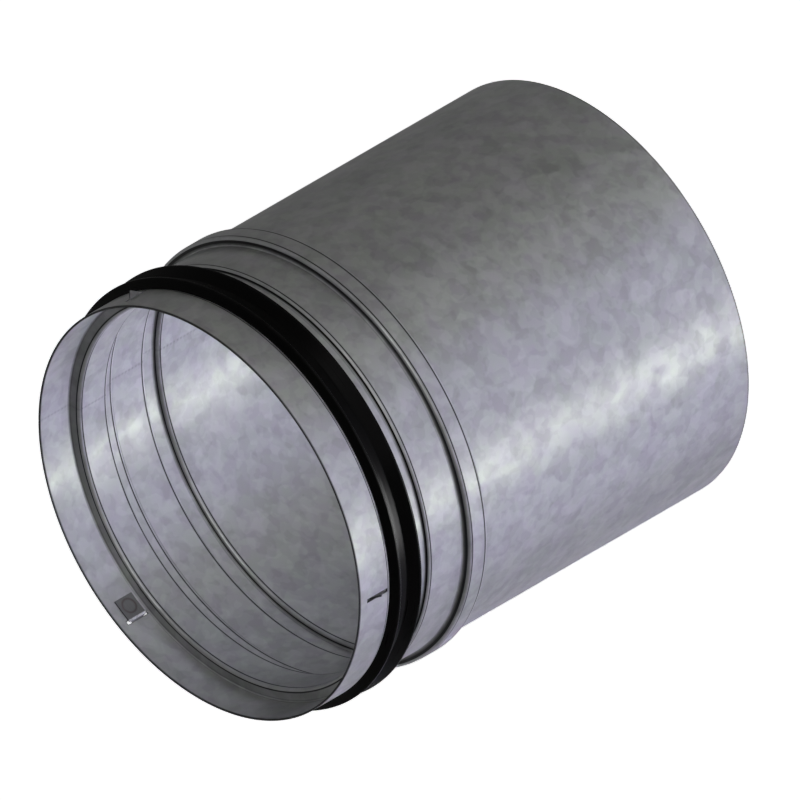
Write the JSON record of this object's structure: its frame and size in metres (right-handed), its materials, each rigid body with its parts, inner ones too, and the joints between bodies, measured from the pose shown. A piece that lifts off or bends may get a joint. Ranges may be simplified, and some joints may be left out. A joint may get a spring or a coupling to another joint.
{
  "type": "duct extension piece",
  "caption": "Short round sheet steel duct piece: plain sleeve at one end, spigot at the other with stop bead, black double-lip rubber gasket and small snap hooks.",
  "frame": {"origin": "centre of the plain end's rim, on the duct's axis, at the level on which the piece stands", "axes": "+Z along the duct's axis from the plain end to the spigot end; +X through the fold of the first snap hook"},
  "size_m": [0.13, 0.13, 0.15],
  "materials": {
    "galvanised_steel": "zinc coating with a soft spangle, semi-bright",
    "black_rubber": "smooth, with a soft sheen",
    "hook_steel": "plain dark steel, smooth"
  },
  "bodies": {
    "root": {"duct_body": "galvanised_steel", "lip_gasket": "black_rubber", "snap_hook_1": "hook_steel", "snap_hook_2": "hook_steel", "snap_hook_3": "hook_steel"}
  },
  "joints": []
}
